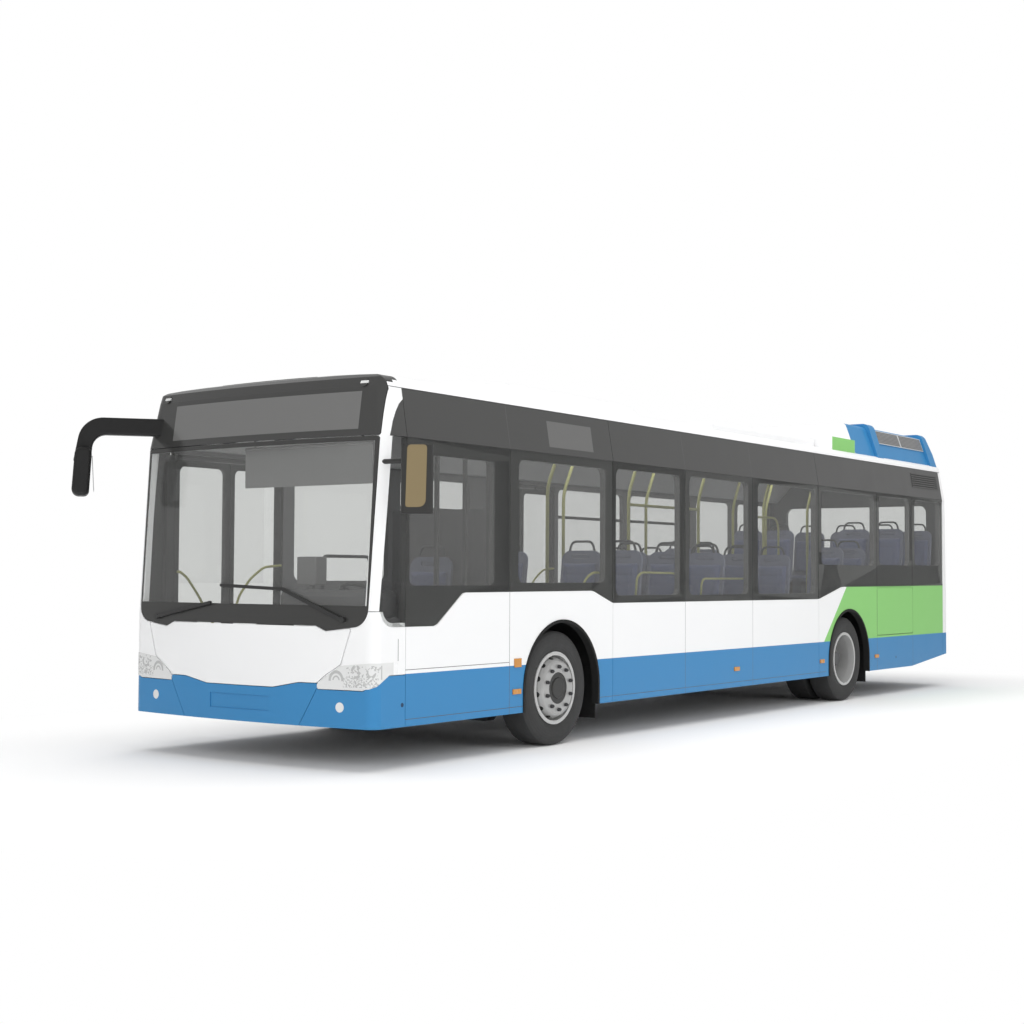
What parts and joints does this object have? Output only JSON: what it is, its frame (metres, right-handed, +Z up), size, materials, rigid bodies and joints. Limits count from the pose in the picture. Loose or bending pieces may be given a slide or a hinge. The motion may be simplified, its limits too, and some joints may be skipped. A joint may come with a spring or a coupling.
{
  "type": "low-floor city bus",
  "caption": "Rigid low-floor city bus with a wrap-round windscreen, flush side glazing, inward-swinging doors, steering, turning wheels, roof units and three lifting lids.",
  "frame": {"origin": "on the road under the middle of the bus's bounding box", "axes": "+X to the bus's left side, +Y to its rear, +Z up; the front faces -Y"},
  "size_m": [3.2898, 12.0299, 3.29],
  "materials": {
    "tinted_glass": "glossy tint",
    "dark_panel": "gloss",
    "white_paint": "gloss",
    "blue_paint": "gloss",
    "clear_lens": "clear",
    "red_lens": "gloss",
    "amber_lens": "gloss",
    "black_sheet": "matt",
    "black_rubber": "matt",
    "floor_covering": "matt",
    "frame_steel": "satin",
    "cast_iron": "matt",
    "dash_plastic": "matt",
    "seat_shell": "matt",
    "seat_fabric": "woven",
    "rail_yellow": "gloss",
    "lining": "matt",
    "mirror_housing": "satin",
    "tyre": "matt",
    "rim_steel": "satin",
    "door_frame": "gloss"
  },
  "bodies": {
    "bus_body": {"windscreen": "tinted_glass", "left_glazing": "tinted_glass", "right_glazing": "tinted_glass", "rear_window": "tinted_glass", "header_panel": "dark_panel", "front_corners": "white_paint", "a_pillars": "white_paint", "left_wall": "white_paint", "right_wall": "white_paint", "roof": "white_paint", "rear_wall": "white_paint", "roof_units": "white_paint", "arch_lips": "black_sheet", "louvre": "dark_panel", "roof_pod": "blue_paint", "pod_grilles": "black_sheet", "front_bumper": "blue_paint", "rear_bumper": "blue_paint", "front_lamps": "clear_lens", "tail_lamps": "red_lens", "marker_lamps": "amber_lens", "wheel_boxes": "black_sheet", "mud_flaps": "black_rubber", "low_floor": "floor_covering", "rear_floor": "floor_covering", "underframe": "frame_steel", "front_axle": "frame_steel", "rear_axle": "frame_steel", "engine": "cast_iron", "dashboard": "dash_plastic", "driver_cab": "dash_plastic", "steering_wheel": "dash_plastic", "seat_bases": "seat_shell", "seat_backs": "seat_shell", "seat_pads": "seat_fabric", "handrails": "rail_yellow", "ceiling_coves": "lining", "mirrors": "mirror_housing", "wipers": "mirror_housing"},
    "front_flap": {"front_flap": "white_paint"},
    "engine_hatch": {"engine_hatch": "white_paint"},
    "engine_flap": {"engine_flap": "white_paint"},
    "knuckle_left": {"knuckle_left": "frame_steel"},
    "knuckle_right": {"knuckle_right": "frame_steel"},
    "wheel_front_left": {"front_tyre_left": "tyre", "front_rim_left": "rim_steel"},
    "wheel_front_right": {"front_tyre_right": "tyre", "front_rim_right": "rim_steel"},
    "wheel_rear_left": {"rear_tyres_left": "tyre", "rear_rims_left": "rim_steel"},
    "wheel_rear_right": {"rear_tyres_right": "tyre", "rear_rims_right": "rim_steel"},
    "door_arm_front_fore": {"door_arm_front_fore": "frame_steel"},
    "door_leaf_front_fore": {"door_leaf_front_fore": "door_frame"},
    "door_arm_front_aft": {"door_arm_front_aft": "frame_steel"},
    "door_leaf_front_aft": {"door_leaf_front_aft": "door_frame"},
    "door_arm_middle_fore": {"door_arm_middle_fore": "frame_steel"},
    "door_leaf_middle_fore": {"door_leaf_middle_fore": "door_frame"},
    "door_arm_middle_aft": {"door_arm_middle_aft": "frame_steel"},
    "door_leaf_middle_aft": {"door_leaf_middle_aft": "door_frame"}
  },
  "joints": [
    {"name": "steer_left", "type": "hinge", "parent": "bus_body", "child": "knuckle_left", "pos_m": [1, -3.185, 0.478], "axis": [0, 0, 1], "range_deg": [-45, 45]},
    {"name": "roll_front_left", "type": "hinge", "parent": "knuckle_left", "child": "wheel_front_left", "pos_m": [1.107, -3.185, 0.478], "axis": [1, 0, 0], "continuous": true},
    {"name": "roll_rear_left", "type": "hinge", "parent": "bus_body", "child": "wheel_rear_left", "pos_m": [1.107, 2.715, 0.478], "axis": [1, 0, 0], "continuous": true},
    {"name": "steer_right", "type": "hinge", "parent": "bus_body", "child": "knuckle_right", "pos_m": [-1, -3.185, 0.478], "axis": [0, 0, 1], "range_deg": [-45, 45]},
    {"name": "roll_front_right", "type": "hinge", "parent": "knuckle_right", "child": "wheel_front_right", "pos_m": [-1.107, -3.185, 0.478], "axis": [1, 0, 0], "continuous": true},
    {"name": "roll_rear_right", "type": "hinge", "parent": "bus_body", "child": "wheel_rear_right", "pos_m": [-1.107, 2.715, 0.478], "axis": [1, 0, 0], "continuous": true},
    {"name": "swing_front_fore", "type": "hinge", "parent": "bus_body", "child": "door_arm_front_fore", "pos_m": [-1.243, -5.122, 2.4], "axis": [0, 0, -1], "range_deg": [0, 90]},
    {"name": "fold_front_fore", "type": "hinge", "parent": "door_arm_front_fore", "child": "door_leaf_front_fore", "pos_m": [-1.243, -4.833, 2.35], "axis": [0, 0, 1], "range_deg": [0, 180]},
    {"name": "swing_front_aft", "type": "hinge", "parent": "bus_body", "child": "door_arm_front_aft", "pos_m": [-1.243, -3.958, 2.4], "axis": [0, 0, 1], "range_deg": [0, 90]},
    {"name": "fold_front_aft", "type": "hinge", "parent": "door_arm_front_aft", "child": "door_leaf_front_aft", "pos_m": [-1.243, -4.247, 2.35], "axis": [0, 0, -1], "range_deg": [0, 180]},
    {"name": "swing_middle_fore", "type": "hinge", "parent": "bus_body", "child": "door_arm_middle_fore", "pos_m": [-1.243, -0.807, 2.4], "axis": [0, 0, -1], "range_deg": [0, 90]},
    {"name": "fold_middle_fore", "type": "hinge", "parent": "door_arm_middle_fore", "child": "door_leaf_middle_fore", "pos_m": [-1.243, -0.518, 2.35], "axis": [0, 0, 1], "range_deg": [0, 180]},
    {"name": "swing_middle_aft", "type": "hinge", "parent": "bus_body", "child": "door_arm_middle_aft", "pos_m": [-1.243, 0.357, 2.4], "axis": [0, 0, 1], "range_deg": [0, 90]},
    {"name": "fold_middle_aft", "type": "hinge", "parent": "door_arm_middle_aft", "child": "door_leaf_middle_aft", "pos_m": [-1.243, 0.068, 2.35], "axis": [0, 0, -1], "range_deg": [0, 180]},
    {"name": "flap_lift", "type": "hinge", "parent": "bus_body", "child": "front_flap", "pos_m": [0, -5.615, 1.037], "axis": [-1, 0, 0], "range_deg": [0, 80]},
    {"name": "hatch_lift", "type": "hinge", "parent": "bus_body", "child": "engine_hatch", "pos_m": [0, 6.0059, 1.4], "axis": [1, 0, 0], "range_deg": [0, 80]},
    {"name": "side_flap_lift", "type": "hinge", "parent": "bus_body", "child": "engine_flap", "pos_m": [1.275, 4.1495, 1.29], "axis": [0, -1, 0], "range_deg": [0, 85]}
  ],
  "couplings": [
    {"joint": "steer_right", "follows": "steer_left", "ratio": 1},
    {"joint": "fold_front_fore", "follows": "swing_front_fore", "ratio": 2},
    {"joint": "fold_front_aft", "follows": "swing_front_aft", "ratio": 2},
    {"joint": "fold_middle_fore", "follows": "swing_middle_fore", "ratio": 2},
    {"joint": "fold_middle_aft", "follows": "swing_middle_aft", "ratio": 2}
  ]
}
